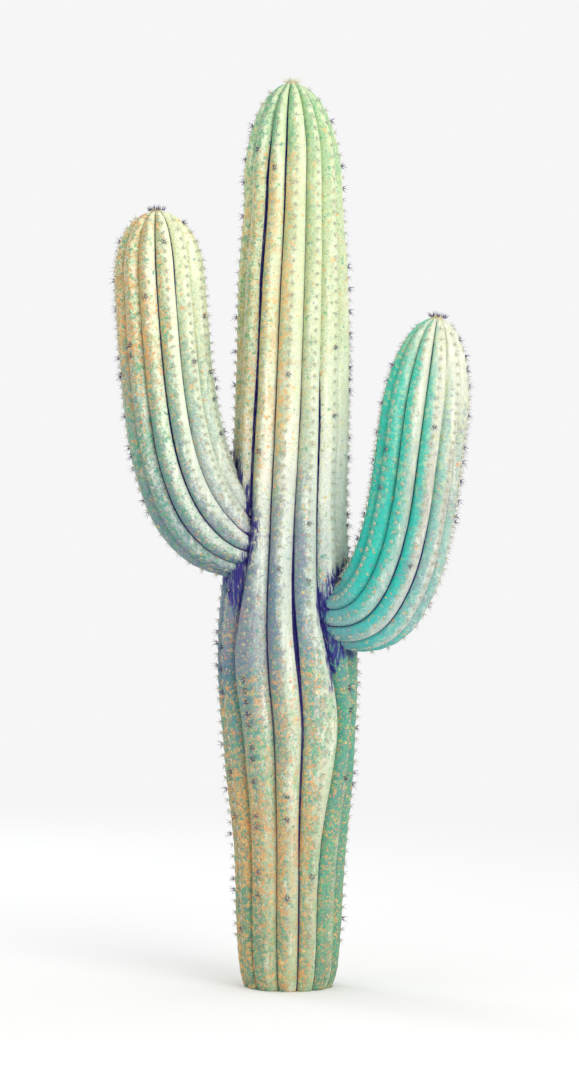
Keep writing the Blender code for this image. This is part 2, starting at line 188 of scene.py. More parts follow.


# Colours of the skin along each stem, as (share of its length, red, green, blue), in the sun and in shade:
# painted light and painted shade.
SKINS = {
    "trunk": {
        "light": (
            (0.0, 176, 190, 150), (0.27, 202, 210, 182), (0.46, 204, 212, 202), (0.60, 228, 230, 214),
            (0.74, 218, 226, 190), (1.0, 208, 224, 180),
        ),
        "shade": (
            (0.0, 82, 138, 112), (0.27, 90, 150, 144), (0.44, 82, 116, 142), (0.66, 170, 190, 158),
            (0.80, 184, 198, 156), (1.0, 92, 172, 118),
        ),
        "balance": ((0.3, 0.0), (0.36, -0.2), (0.48, -0.2), (0.6, 0.0), (0.9, -0.1)),
        "turn": 0.8, "hang": 0.0, "flank": 0.75, "back": 0.7, "paling": 0.6,
    },
    "left_arm": {
        "light": ((0.0, 186, 192, 188), (0.25, 208, 216, 200), (0.50, 226, 238, 212), (1.0, 236, 240, 202)),
        "shade": (
            (0.0, 76, 90, 142), (0.30, 98, 132, 146), (0.60, 128, 164, 148), (0.88, 178, 188, 138),
            (1.0, 180, 188, 134),
        ),
        "balance": ((0.0, 0.1), (0.35, -0.2), (0.55, -0.5), (0.8, -0.1), (1.0, 0.0)),
        "turn": 1.0, "hang": 1.2, "flank": 0.7, "back": 0.7, "paling": 0.0,
    },
    "right_arm": {
        "light": (
            (0.0, 160, 186, 184), (0.30, 186, 194, 186), (0.52, 184, 184, 172), (0.79, 208, 212, 194),
            (1.0, 214, 216, 194),
        ),
        "shade": ((0.0, 116, 158, 172), (0.30, 28, 184, 170), (0.85, 52, 196, 172), (1.0, 150, 192, 160)),
        "balance": ((0.0, -1.15), (0.35, -1.27), (0.55, -1.15), (0.78, -0.8), (1.0, -0.15)),
        "turn": 2.15, "hang": -0.3, "flank": 0.75, "back": 1.1, "paling": 0.0,
    },
}
AMBER = srgb(232, 146, 78)
PALE_AMBER = srgb(230, 190, 120)
TEAL = srgb(62, 142, 142)
LEAF = srgb(92, 176, 116)
MAUVE = srgb(142, 132, 152)
STRAW = srgb(226, 222, 150)
# A painted highlight, in pale streaks on the sunny flanks.
HIGHLIGHT_COLOUR = srgb(246, 248, 234)
# Painted shade in the creases between the ribs.
CREASE_SHADE_COLOUR = srgb(28, 14, 104)
# Painted shadow in the folds at the arms' feet and under the arms.
ARM_SHADOW_COLOUR = srgb(40, 28, 122)
CORK_COLOUR = srgb(176, 150, 116)
WOOL_COLOURS = ((0.3, 120, 104, 96), (0.46, 204, 186, 142), (0.62, 200, 208, 168))  # from dark to pale tufts
FELT_COLOUR = srgb(194, 198, 170)
SPINE_COLOURS = {"pale": srgb(222, 220, 202), "grey": srgb(128, 132, 124), "dark": srgb(50, 36, 92)}

# How dark and wide the painted shade in the creases of the trunk that face the viewer is, as (height,
# share).
TRUNK_CREASE_SHADE = {
    11: ((1.9, 0.1), (2.3, 0.7), (2.75, 1.0), (3.2, 0.7), (3.6, 0.95), (4.0, 0.8), (4.25, 0.3)),
    12: ((0.9, 0.0), (1.3, 0.15), (2.0, 0.2), (3.4, 0.16), (4.1, 0.4)),
    0: ((1.1, 0.26), (1.5, 0.42), (1.75, 0.75), (2.0, 0.5), (2.4, 0.16), (4.0, 0.06)),
    1: ((1.2, 0.22), (2.1, 0.3), (2.5, 0.55), (2.95, 0.45), (3.1, 0.08)),
    2: ((0.6, 0.1), (1.5, 0.25), (3.2, 0.3)),
}
PLAIN_CREASE_SHADE = {"level": 0.2, "varies": 0.26, "waves": 0.9, "apart": 7.3}  # of the painted shade in any other crease
CREASE_SHADE_WAVES = (4.0, 0.12)  # (waves to a metre, share) added to the painted crease shade of all
WAVY = ((0.055, 2.2), (0.05, 6.0))  # of bands of colour: (share of the stem, waves to a metre)

# Where the skin turns to its sunny colours, as painted light and shade by which way it faces.
SUN = (0.86, -0.5, 0.0)
LOW_LIGHT = {  # on the trunk under its arms
    "heading": -74.0, "heights": (2.3, 1.6), "fall": 4.6, "least": -2.5, "most": 0.6, "back": 1.6,
}
FAR_SUN = {"gain": 0.8, "right": (0.3, 0.7), "heights": (3.5, 2.9)}  # on the trunk's right over its arms
BEHIND = (0.1, 0.9)  # where the back's plainer light sets in

# Where speckles lie: the least share that they cover, and patches as (share added, steps along the stem,
# steps from its left, -1, to its right, 1). A step is the place where it starts and where it is full.
LOW = (0.43, 0.25)
HIGH = (0.54, 0.70)
FAR_RIGHT = (0.6, 0.6001)
LOW_ON_LEFT = ((0.7, (LOW,), ()), (-0.595, (LOW,), ((0.1, 0.6),)))
SPECKLES = {
    "trunk": {
        "amber": (0.05, *LOW_ON_LEFT, (0.56, (HIGH, (0.94, 0.80)), ((0.35, -0.45),))),
        "teal": (
            0.06, (0.42, (LOW,), ()), (0.36, (LOW,), ((0.1, 0.8),)), (0.34, (HIGH,), ((-0.1, -0.8),)),
            (0.4, (LOW, (0.22, 0.34)), (FAR_RIGHT,)),
        ),
        "mauve": (0.0, (0.5, ((0.60, 0.44), (0.16, 0.3)), ((0.7, 0.0),))),
    },
    "left_arm": {
        "amber": (0.06, (0.85, ((0.3, 0.88),), ((0.4, -0.6),))),
        "teal": (0.03, (0.4, (), ((0.45, -0.4),))),
        "mauve": (0.0, (0.42, ((0.45, 0.2),), ())),
    },
    "right_arm": {
        "amber": (0.012,),
        "teal": (0.03,),
        "mauve": (
            0.05, (0.2, ((0.3, 0.1),), ()), (0.12, (), ((0.2, 0.9),)),
            (0.4, ((0.15, 0.4), (0.9, 0.7)), ((-0.1, 0.25),)),
        ),
    },
}
SPECKLE_WAVES = {  # that thin them out: (waves to a metre, seed, level, height)
    "amber": (2.3, 15.0, 1.0, 0.9),
    "teal": (2.9, 25.0, 1.0, 1.0),
    "mauve": (2.9, 25.0, 0.8, 1.6),
}
MAUVE_BEHIND = 0.6  # how much less there is of it behind the trunk

FLOOR_COLOUR = (0.86, 0.86, 0.855, 1.0)
WORLD_COLOUR = (0.92, 0.92, 0.92, 1.0)


# Curves that the solids and the skins share.


def smooth_step(low, high, value):
    share = np.clip((value - low) / (high - low), 0.0, 1.0)
    return share * share * (3 - 2 * share)


def through(points, at):
    """The value at a place on the smooth curve through (place, value) points, flat beyond both ends."""
    if at <= points[0][0]:
        return points[0][1]
    if at >= points[-1][0]:
        return points[-1][1]
    last = len(points) - 1
    k = next(i for i in range(last) if at <= points[i + 1][0])
    (low, value), (high, next_value) = points[k], points[k + 1]

    def slope(i):
        before, after = points[max(i - 1, 0)], points[min(i + 1, last)]
        return (after[1] - before[1]) / (after[0] - before[0])

    width = high - low
    t = (at - low) / width
    rise = next_value - value
    start, end = slope(k) * width, slope(k + 1) * width
    return value + t * start + t * t * (3 * rise - 2 * start - end) + t**3 * (start + end - 2 * rise)


def along_curve(points, places):
    return np.array([through(points, at) for at in places])


def unit(vectors):
    return vectors / np.linalg.norm(vectors, axis=-1, keepdims=True)


# A stem is a dict of arrays with one entry for each ring: its middle, the directions x and y across it, the
# radius over its ribs, their depth as a share of it, the angle of each valley, and its share of the length.


def rib_flow(angle, height):
    """How far, in degrees, the arms turn a rib that would stand at this angle."""
    turn = 0.0
    for arm in ARMS:
        aside = (angle - arm["heading"] + 180.0) % 360.0 - 180.0
        way = aside / RIB_FLOW_WIDTH
        side = way * math.exp(0.5 * (1 - way * way))
        above = (height - arm["foot_height"]) / RIB_FLOW_HEIGHT
        below = (height - arm["foot_height"] + PINCH_DROP) / RIB_FLOW_HEIGHT
        turn += side * (RIB_PARTING * math.exp(-above * above) - RIB_PINCH * math.exp(-below * below))
    return turn


def trunk_valley(number, height):
    drift = through([(level, drifts[number % TRUNK_RIBS]) for level, drifts in TRUNK_DRIFT], height)
    angle = through(TRUNK_TWIST, height) + 360.0 * number / TRUNK_RIBS + drift
    return angle + rib_flow(angle, height)


def trunk_stem(heights):
    count = len(heights)
    dome_foot = TRUNK_HEIGHT - TRUNK_DOME
    radius = TRUNK_RADIUS * along_curve(TRUNK_PROFILE, heights / TRUNK_HEIGHT)
    rise = np.clip((heights - dome_foot) / TRUNK_DOME, 0.0, 1.0)
    radius = radius * np.sqrt(1 - rise**TRUNK_DOME_POWER)
    middle = np.stack([along_curve(TRUNK_SWAY, heights), np.zeros(count), heights], axis=1)
    valleys = [[trunk_valley(k, height) for k in range(TRUNK_RIBS + 1)] for height in heights]
    return {
        "middle": middle,
        "x": np.tile((1.0, 0.0, 0.0), (count, 1)),
        "y": np.tile((0.0, 1.0, 0.0), (count, 1)),
        "radius": radius,
        "depth": FOOT_RIB_DEPTH + (RIB_DEPTH - FOOT_RIB_DEPTH) * smooth_step(0.0, FOOT_HEIGHT, heights),
        "valleys": np.radians(valleys),
        "share": heights / TRUNK_HEIGHT,
        "reach": heights,
    }


def arm_line(arm):
    """Points of an arm's middle line in its own upright plane, with the way along and the reach at each."""
    points = np.array(arm["line"])
    steps = np.linalg.norm(np.diff(points, axis=0), axis=1)
    places = np.concatenate([[0.0], np.cumsum(steps)])
    even = np.linspace(0.0, places[-1], LINE_SAMPLES + 1)
    line = np.stack([along_curve(list(zip(places, points[:, k])), even) for k in (0, 1)], axis=1)
    after = np.concatenate([line[1:], line[-1:]])
    before = np.concatenate([line[:1], line[:-1]])
    reach = np.concatenate([[0.0], np.cumsum(np.linalg.norm(np.diff(line, axis=0), axis=1))])
    return line, unit(after - before), reach


def arm_stem(arm, shares):
    line, ways, reach = arm_line(arm)
    whole = reach[-1]
    count = len(shares)

    def at_shares(values):
        return np.interp(shares * whole, reach, values)

    out, up = at_shares(line[:, 0]), at_shares(line[:, 1])
    way = unit(np.stack([at_shares(ways[:, 0]), at_shares(ways[:, 1])], axis=1))
    heading = math.radians(arm["heading"])
    ahead = np.array((math.cos(heading), math.sin(heading), 0.0))
    aside = np.array((-math.sin(heading), math.cos(heading), 0.0))
    above = np.array((0.0, 0.0, 1.0))
    radius = ARM_RADIUS * along_curve(arm["radii"], shares)
    rise = np.clip((shares - 1.0) * whole / arm["dome"] + 1.0, 0.0, 1.0)
    radius = radius * np.sqrt(1 - rise ** arm["dome_power"])
    valleys = arm["valley"] + 360.0 * np.arange(arm["ribs"] + 1) / arm["ribs"]
    return {
        "middle": out[:, None] * ahead + (up + arm["foot_height"])[:, None] * above,
        "x": way[:, 1, None] * ahead - way[:, 0, None] * above,
        "y": np.tile(aside, (count, 1)),
        "radius": radius,
        "depth": RIB_DEPTH * (FOOT_SHALLOW + (1 - FOOT_SHALLOW) * smooth_step(*FOOT_SPAN, shares)),
        "valleys": np.tile(np.radians(valleys), (count, 1)),
        "share": shares,
        "reach": shares * whole,
    }


def on_stem(stem, rib, across):
    """Points over every ring of a stem at places across one rib, and the outward direction at each.

    across has an entry for each column, and the results have rings by columns entries.
    """
    low, high = stem["valleys"][:, rib, None], stem["valleys"][:, rib + 1, None]
    angle = low + (high - low) * 0.5 * (across + 1.0)
    out = np.cos(angle)[..., None] * stem["x"][:, None] + np.sin(angle)[..., None] * stem["y"][:, None]
    radius = stem["radius"][:, None] * (1 - stem["depth"][:, None] * np.abs(across) ** RIB_POWER)
    return stem["middle"][:, None] + radius[..., None] * out, out


ARM_STEMS = {arm["name"]: arm_stem(arm, np.linspace(0.0, 1.0, LINE_SAMPLES // 2)) for arm in ARMS}


def above_arm(points, arm):
    """How far points lie outside an arm, roughly, with the arm taken as balls along its middle line."""
    stem = ARM_STEMS[arm["name"]]
    nearest = np.full(len(points), np.inf)
    for middle, radius in zip(stem["middle"], stem["radius"]):
        nearest = np.minimum(nearest, np.linalg.norm(points - middle, axis=1) - radius)
    return nearest


def above_trunk(points):
    """How far points lie outside the round of the trunk's ribs."""
    heights = np.clip(points[:, 2], 0.0, TRUNK_HEIGHT)
    table = np.linspace(0.0, TRUNK_HEIGHT, LINE_SAMPLES)
    stem = trunk_stem(table)
    middle = np.interp(heights, table, stem["middle"][:, 0])
    radius = np.interp(heights, table, stem["radius"] * (1 - MEAN_RADIUS * stem["depth"]))
    return np.hypot(points[:, 0] - middle, points[:, 1]) - radius


def noise_at(points, waves, seed=0.0):
    """Smooth noise from about -1 to 1 at each point, with this many waves to a metre."""
    shifted = points * waves + seed
    return np.array([noise.noise(Vector(point)) for point in shifted])


# Skins.


def rows_to_tip(low, rows):
    """Shares of a stem from low to just under its tip, closer together near it."""
    t = np.linspace(0.0, 1.0, rows + 1)[:-1]
    bent = 1 - (1 - t) ** ROW_CROWDING
    return low + (1.0 - low) * (EVEN_ROWS * t + (1 - EVEN_ROWS) * bent)


def areole_phase(rib):
    """The share of a gap by which a rib's areoles are shifted."""
    shift = AREOLE_SHIFT
    return shift["odd"] * (rib % 2) + shift["varies"] * math.sin(shift["turn"] * rib)


def skin(name, stem, ribs, columns):
    """The ribbed surface of a stem with its relief, and what its material needs to know at each point."""
    half = np.linspace(-1.0, 1.0, columns + 1)[:-1]
    across = half * (1 + COLUMN_CROWDING - COLUMN_CROWDING * np.abs(half))
    places = [on_stem(stem, rib, across) for rib in range(ribs)]
    points, outs = (np.concatenate(parts, axis=1) for parts in zip(*places))
    rows, width = points.shape[:2]
    flat, outs = points.reshape(-1, 3), outs.reshape(-1, 3)
    across = np.tile(across, rows * ribs)
    side = np.abs(across)
    phase = np.repeat([areole_phase(rib) for rib in range(ribs)], columns)
    notch = stem["reach"][:, None] / AREOLE_GAP[name] - phase
    notch = (0.5 + 0.5 * np.cos(2 * math.pi * notch)).ravel()
    cork = cork_share(name, flat, side)
    fade = np.repeat(np.clip(stem["radius"] / SLIM, 0.0, 1.0), width)
    relief = skin_relief(flat, side, notch, cork) * fade
    surface = (flat + relief[:, None] * outs).reshape(rows, width, 3)
    surface[0, :, 2] = np.maximum(surface[0, :, 2], 0.0)
    last, tip = stem["middle"][-2:]
    mesh = tube(name, surface, tip + (tip - last) * TIP_STEP)
    way = np.repeat(stem["share"], width)
    way = way + sum(share * noise_at(flat, waves, seed=33.0) for share, waves in WAVY)
    facts = {
        "across": across,
        "side": side,
        "crease_shade": painted_crease_shade(name, stem, ribs, across[:width], flat),
        "way": way,
        "cork": cork,
        "arm_shadow": arm_shadow_share(name, surface.reshape(-1, 3)),
        "lean": lean(name, stem["share"], outs, surface[..., 2].ravel()),
        "crest": notch * np.exp(-((side / CREST_WIDTH) ** 2)),
    }
    facts.update(speckles(name, way, outs, flat))
    for key, values in facts.items():
        ends = [0.0, 0.0] if key == "across" else [values[:width].mean(), values[-width:].mean()]
        attribute = mesh.attributes.new(key, "FLOAT", "POINT")
        attribute.data.foreach_set("value", np.concatenate([values, ends]).astype(np.float32))
    return mesh


def skin_relief(points, side, notch, cork):
    """How far each point stands out from the smooth ribs."""
    relief = sum(height * noise_at(points, waves, seed=waves) for waves, height in LUMPS)
    relief += cork * CORK_LUMPS[1] * (noise_at(points, CORK_LUMPS[0], seed=3.0) - 0.5)
    depth = CREASE_DEPTH * (1 + CREASE_WAVES[1] * noise_at(points, CREASE_WAVES[0], seed=11.0))
    relief -= depth * np.exp(-(((1 - side) / CREASE_WIDTH) ** 2))
    swell = SWELL * (notch - SWELL_LEVEL) * np.exp(-((side / SWELL_WIDTH) ** 2))
    return relief + swell * (1 - CORK["covers"] * cork)


def tube(name, surface, tip):
    """A closed mesh over rings of points, with a point in the middle of its foot and one at its tip."""
    rows, width, _ = surface.shape
    foot = surface[0].mean(axis=0)
    vertices = np.concatenate([surface.reshape(-1, 3), [foot, tip]])
    columns = np.arange(width)
    beside = (columns + 1) % width
    base = (np.arange(rows - 1) * width)[:, None]
    quads = np.stack([base + columns, base + beside, base + width + beside, base + width + columns], axis=2)
    below, above = rows * width, rows * width + 1
    top = (rows - 1) * width
    faces = quads.reshape(-1, 4).tolist()
    faces += [(below, j, i) for i, j in zip(columns.tolist(), beside.tolist())]
    faces += [(top + i, top + j, above) for i, j in zip(columns.tolist(), beside.tolist())]
    mesh = mesh_of(name, vertices.tolist(), faces, smooth=True)
    unwrap(mesh, rows, width)
    return mesh


def mesh_of(name, vertices, faces, smooth=False):
    mesh = bpy.data.meshes.new(name)
    mesh.from_pydata(vertices, [], faces)
    if smooth:
        mesh.shade_smooth()
    return mesh


def unwrap(mesh, rows, width):
    """A map round and along the stem, with the flat foot in a corner of its own."""
    u = np.arange(width) / width
    v = MAP_CORNER + (1 - MAP_CORNER) * np.arange(rows + 1) / rows
    side = np.empty((rows, width, 4, 2))
    side[..., 0, 0] = side[..., 3, 0] = u
    side[..., 1, 0] = side[..., 2, 0] = u + 1 / width
    side[..., 0, 1] = side[..., 1, 1] = v[:-1, None]
    side[..., 2, 1] = side[..., 3, 1] = v[1:, None]
    middle = MAP_CORNER / 2
    turn = 2 * math.pi * u
    rim = middle + 0.9 * middle * np.stack([np.cos(turn), np.sin(turn)], axis=1)
    foot = np.stack([np.full((width, 2), middle), np.roll(rim, -1, axis=0), rim], axis=1)
    tip = side[-1][:, (0, 1, 2)].copy()
    tip[:, 2, 0] = u + 0.5 / width
    layer = mesh.uv_layers.new(name="OFBake")
    corners = np.concatenate([part.reshape(-1, 2) for part in (side[:-1], foot, tip)])
    layer.uv.foreach_set("vector", corners.astype(np.float32).ravel())


def cork_share(name, points, side):
    """How corky the skin is at each point: the foot of the trunk is, most of all on its ribs."""
    if name != "trunk":
        return np.zeros(len(points))
    patches = CORK["level"] + CORK["varies"] * noise_at(points, CORK["waves"], seed=5.0)
    low = smooth_step(*CORK["heights"], points[:, 2])
    return np.clip(low * patches * (1 - CORK["flank"] * side), 0.0, 1.0)


def arm_shadow_share(name, points):
    """How deep each point lies in the painted shadow of a fold where an arm leaves the trunk, and under each
    arm.
    """
    if name != "trunk":
        return np.exp(-((np.maximum(above_trunk(points), 0.0) / JOINT_WIDTH["arm"]) ** 2))
    share = np.zeros(len(points))
    angle = np.degrees(np.arctan2(points[:, 1], points[:, 0]))
    for arm in ARMS:
        joint = np.exp(-((np.maximum(above_arm(points, arm), 0.0) / JOINT_WIDTH["trunk"]) ** 2))
        aside = (angle - arm["heading"] + 180.0) % 360.0 - 180.0
        aside = np.where(arm["front"] * aside > 0.0, np.abs(aside), 180.0)
        rise = (points[:, 2] - arm["foot_height"] - FOLD_TOP) / FOLD_DROP + 1.0
        inside = np.minimum(aside - FOLD_ASIDE * (1 - rise), FOLD_ASIDE + FOLD_SPREAD * rise - aside)
        under = smooth_step(*FOLD_SIDES, inside)
        for end in FOLD_ENDS:
            under = under * smooth_step(*end, rise)
        share = np.maximum(share, np.maximum(joint, under))
    return share


def lean(name, shares, outs, height):
    """How the skin leans to its painted shade colour, under 0, or its painted sunlit one, before its ribs
    and speckles, by which way it faces.
    """
    look = SKINS[name]
    sun = look["turn"] * (outs @ unit(np.array(SUN)))
    lift = look["back"]
    if name == "trunk":
        heading = math.radians(LOW_LIGHT["heading"])
        facing = outs @ np.array((math.cos(heading), math.sin(heading), 0.0))
        low_sun = np.clip(LOW_LIGHT["most"] - LOW_LIGHT["fall"] * (1 - facing), LOW_LIGHT["least"], None)
        low = smooth_step(*LOW_LIGHT["heights"], height)
        far = smooth_step(*FAR_SUN["right"], outs[:, 0]) * smooth_step(*FAR_SUN["heights"], height)
        sun = (1 - low) * (sun + FAR_SUN["gain"] * far) + low * low_sun
        lift = lift + LOW_LIGHT["back"] * low
    sun = sun + lift * smooth_step(*BEHIND, outs[:, 1])
    balance = np.repeat(along_curve(look["balance"], shares), len(outs) // len(shares))
    return sun + balance + look["hang"] * outs[:, 2]


def painted_crease_shade(name, stem, ribs, across, points):
    """How dark and wide the painted shade in the nearest crease is, from 0 to 1, with the places across one
    row.
    """
    valley = np.repeat(np.arange(ribs), len(across) // ribs) + (across > 0)
    crease_shade = np.empty((len(stem["reach"]), len(across)))
    for number in range(ribs + 1):
        if name == "trunk" and number % ribs in TRUNK_CREASE_SHADE:
            along = along_curve(TRUNK_CREASE_SHADE[number % ribs], stem["reach"])
        else:
            apart = PLAIN_CREASE_SHADE["apart"] * (number % ribs)
            places = [(reach * PLAIN_CREASE_SHADE["waves"], apart, 0.0) for reach in stem["reach"]]
            along = PLAIN_CREASE_SHADE["level"] + PLAIN_CREASE_SHADE["varies"] * noise_at(np.array(places), 1.0)
        crease_shade[:, valley == number] = along[:, None]
    return np.clip(crease_shade.ravel() + CREASE_SHADE_WAVES[1] * noise_at(points, CREASE_SHADE_WAVES[0], seed=9.0), 0.0, 1.0)


def speckles(name, way, outs, points):
    """Which share of the skin the speckles of each colour cover."""
    facts = {}
    for colour, (least, *patches) in SPECKLES[name].items():
        cover = np.full(len(way), least)
        for amount, along, to_right in patches:
            patch = np.full(len(way), amount)
            for values, steps in ((way, along), (outs[:, 0], to_right)):
                for step in steps:
                    patch *= smooth_step(*step, values)
            cover += patch
        waves, seed, level, varies = SPECKLE_WAVES[colour]
        facts[colour] = cover * (level + varies * noise_at(points, waves, seed))
    if name == "trunk":
        facts["mauve"] *= 1 - MAUVE_BEHIND * smooth_step(0.0, 0.8, outs[:, 1])
    return facts


# Areoles and spines.


def areoles(name, make_stem, whole, ribs):
    """The areoles of a stem: their feet, outward directions, directions along the rib and its number."""
    gap = AREOLE_GAP[name]
    step = 0.002 / whole
    parts = []
    for rib in range(ribs):
        reach = np.arange(FIRST_AREOLE + areole_phase(rib) * gap, whole - LAST_AREOLE, gap)
        reach = reach[reach > ARM_HIDDEN * whole]
        foot, out = (part[:, 0] for part in on_stem(make_stem(reach / whole), rib, np.zeros(1)))
        above, _ = on_stem(make_stem(reach / whole + step), rib, np.zeros(1))
        along = unit(above[:, 0] - foot)
        out = unit(out - (out * along).sum(axis=1, keepdims=True) * along)
        parts.append((foot, out, along, np.full(len(reach), rib)))
    feet, outs, alongs, owners = (np.concatenate(part) for part in zip(*parts))
    if name == "trunk":
        room = np.minimum(above_arm(feet, LEFT_ARM), above_arm(feet, RIGHT_ARM))
    else:
        room = above_trunk(feet)
    free = room > LIMB_ROOM
    return feet[free], outs[free], alongs[free], owners[free]


def dark_areoles(name, feet, outs, owners, rng):
    """Which areoles carry dark spines."""
    added, power = SIDE_TUFTS
    chance = TUFT_CHANCE + added * outs[:, 0] ** power
    if name == "trunk":
        low, high = TUFT_ROW["heights"]
        row = (owners == TUFT_ROW["rib"]) & (feet[:, 2] > low) & (feet[:, 2] < high)
        chance = np.where(row, TUFT_ROW["chance"], chance)
    return rng.uniform(size=len(feet)) < chance


def spine_shapes(feet, ways, bends, lengths, radius):
    """Vertices and faces of slim three-sided spines that bend a little towards bends."""
    helper = np.where(np.abs(ways[:, 2:]) > 0.9, (1.0, 0.0, 0.0), (0.0, 0.0, 1.0))
    a = unit(np.cross(ways, helper))
    b = np.cross(ways, a)
    turns = 2 * math.pi * np.arange(3) / 3
    ring = np.cos(turns)[:, None] * a[:, None] + np.sin(turns)[:, None] * b[:, None]
    length = lengths[:, None]
    middle = feet + ways * length * 0.5
    tip = feet + ways * length + bends * length * SPINE_BEND
    low = feet[:, None] + ring * radius
    high = middle[:, None] + ring * radius * SPINE_TAPER
    vertices = np.concatenate([low, high, tip[:, None]], axis=1).reshape(-1, 3)
    pattern = []
    for k in range(3):
        j = (k + 1) % 3
        pattern += [(k, j, 3 + j), (k, 3 + j, 3 + k), (3 + k, 3 + j, 6)]
    faces = (np.arange(len(feet)) * 7)[:, None, None] + np.array(pattern)
    return vertices.tolist(), faces.reshape(-1, 3).tolist()


def spine_mesh(name, feet, outs, alongs, kind, rng):
    """Every spine of one kind on the areoles given, as one mesh."""
    sizes = SPINE_KINDS[kind]
    asides = np.cross(outs, alongs)
    parts = []
    for ring, lifts in SPINE_LIFTS.items():
        amount, length = sizes[ring]
        count = len(feet) * amount
        owner = np.repeat(np.arange(len(feet)), amount)
        even = np.tile(np.arange(amount), len(feet)) / amount
        turn = 2 * math.pi * (even + rng.uniform(-SPINE_STRAY, SPINE_STRAY, count))
        lift = np.radians(rng.uniform(*lifts, count))
        flat = np.cos(turn)[:, None] * alongs[owner] + np.sin(turn)[:, None] * asides[owner]
        ways = np.cos(lift)[:, None] * flat + np.sin(lift)[:, None] * outs[owner]
        start = feet[owner] + flat * AREOLE_SIZE * 0.5 + outs[owner] * SPINE_ROOT
        lengths = length * rng.uniform(*SPINE_LENGTHS, count)
        parts.append((start, ways, lengths))
    start, ways, lengths = (np.concatenate(items) for items in zip(*parts))
    bends = np.tile((0.0, 0.0, -1.0), (len(start), 1))
    return mesh_of(name, *spine_shapes(start, ways, bends, lengths, sizes["radius"]))


def felt_mesh(name, feet, outs, alongs, rng):
    """The felted cushion of each areole, as one mesh."""
    sides = FELT_SIDES
    asides = np.cross(outs, alongs)
    turns = 2 * math.pi * np.arange(sides) / sides
    size = AREOLE_SIZE * rng.uniform(*FELT_SIZES, len(feet))[:, None, None]
    ring = np.cos(turns)[:, None] * alongs[:, None] * FELT_STRETCH + np.sin(turns)[:, None] * asides[:, None]
    rings = [feet[:, None] + ring * size * share + outs[:, None] * height for share, height in FELT_RINGS]
    top = feet[:, None] + outs[:, None] * FELT_HEIGHT
    vertices = np.concatenate([*rings, top], axis=1).reshape(-1, 3)
    pattern = []
    for k in range(sides):
        j = (k + 1) % sides
        pattern += [(k, sides + k, sides + j), (k, sides + j, j), (sides + k, 2 * sides, sides + j)]
    pattern = np.array(pattern)[:, ::-1]
    faces = (np.arange(len(feet)) * (2 * sides + 1))[:, None, None] + pattern
    return mesh_of(name, vertices.tolist(), faces.reshape(-1, 3).tolist(), smooth=True)


def wool_mesh(name, tips):
    """The low woolly cushion on each tip, as one mesh. A tip is (place, upward direction)."""
    vertices, faces = [], []
    lumps = WOOL_LUMPS
    for tip, up in tips:
        tip, up = Vector(tip), Vector(up).normalized()
        a = up.orthogonal().normalized()
        b = up.cross(a)
        start = len(vertices)
        for k in range(WOOL_RINGS + 1):
            share = k / WOOL_RINGS
            for side in range(WOOL_SIDES):
                turn = 2 * math.pi * side / WOOL_SIDES
                out = a * math.cos(turn) + b * math.sin(turn)
                wave = noise.noise((out * share * lumps["spread"] + tip * lumps["seed"]) * lumps["waves"])
                fine = noise.noise((out * share * WOOL_RADIUS + tip) * WOOL_FLUFF[0])
                rise = WOOL_HEIGHT * (1 - share**2.4) - WOOL_DROP * share**3
                rise += (lumps["height"] * wave + WOOL_FLUFF[1] * fine) * (1 - share**4)
                vertices.append(tip + out * WOOL_RADIUS * share * (1 + lumps["aside"] * wave) + up * rise)
        faces += ring_faces(WOOL_RINGS, WOOL_SIDES, start)
    return mesh_of(name, vertices, faces, smooth=True)


def ring_faces(steps, sides, start):
    """Quads between rings of points that are numbered from start."""
    rings = [start + k * sides for k in range(steps)]
    pairs = [(low + side, low + (side + 1) % sides) for low in rings for side in range(sides)]
    return [(i, i + sides, j + sides, j) for i, j in pairs]


def crown_spines(name, tips, amount, rng):
    """Short bristles that stand in the wool of every tip and lean in over it."""
    feet, ways = [], []
    at_rim, anywhere = TIP_SPINE_LEAN
    for tip, up in tips:
        up = np.array(Vector(up).normalized())
        a = np.array(Vector(up).orthogonal().normalized())
        b = np.cross(up, a)
        for _ in range(amount):
            turn, share = rng.uniform(0, 2 * math.pi), math.sqrt(rng.uniform(0.02, 1.0))
            out = math.cos(turn) * a + math.sin(turn) * b
            tilt = rng.uniform(*at_rim) * share + rng.uniform(*anywhere)
            feet.append(np.array(tip) + out * WOOL_RADIUS * share + up * WOOL_HEIGHT * 0.6 * (1 - share))
            ways.append(up * math.cos(tilt) + out * math.sin(tilt))
    feet, ways = np.array(feet), unit(np.array(ways))
    lengths = TIP_SPINE_LENGTH * rng.uniform(*TIP_SPINE_LENGTHS, len(feet))
    return mesh_of(name, *spine_shapes(feet, ways, ways, lengths, SPINE_KINDS["dark"]["radius"]))


# Materials.

SPOTS = (  # layers of speckles: (cells to a metre, raggedness, shift, share of the cover, strength)
    (64.0, 0.024, 0.0, 0.8, 0.66),
    (120.0, 0.012, 4.0, 0.75, 0.62),
    (190.0, 0.008, 9.0, 0.5, 0.45),
)
CELL_WARP = 1.7  # waves of the warp that makes them ragged, to a cell
CLUMPS = {  # that speckles gather in: (waves to a metre, shift, edges, gain, least)
    "amber": (34.0, 51.0, (0.38, 0.62), 1.3, 0.3),
    "teal": (38.0, 61.0, (0.4, 0.6), 1.6, 0.2),
}
MOST_SPECKLED = 0.72
WASHES = {  # thin colour between speckles: (colour, waves to a metre, how drawn out, shift, strength)
    "amber": (AMBER, 19.0, 0.6, 71.0, 0.5),
    "teal": (LEAF, 17.0, 0.5, 81.0, 0.55),
}
MAUVE_STRENGTH = 0.6
STRAW_STRENGTH = 0.3
# How strong the painted highlight is.
HIGHLIGHT_STRENGTH = 0.4
CREST_FELT = 0.15
CREASE_EDGE = (-0.17, 0.965)  # how far the painted crease shade moves it, and from where
CREASE_RAGGED = 0.05
CREASE_BLUR = 0.02
# Hatching and strength of the painted shadow under and around the arms.
FOLD_HATCH = 3.0
FOLD_SHADE = 0.78
CORK_ROUGH = 0.22


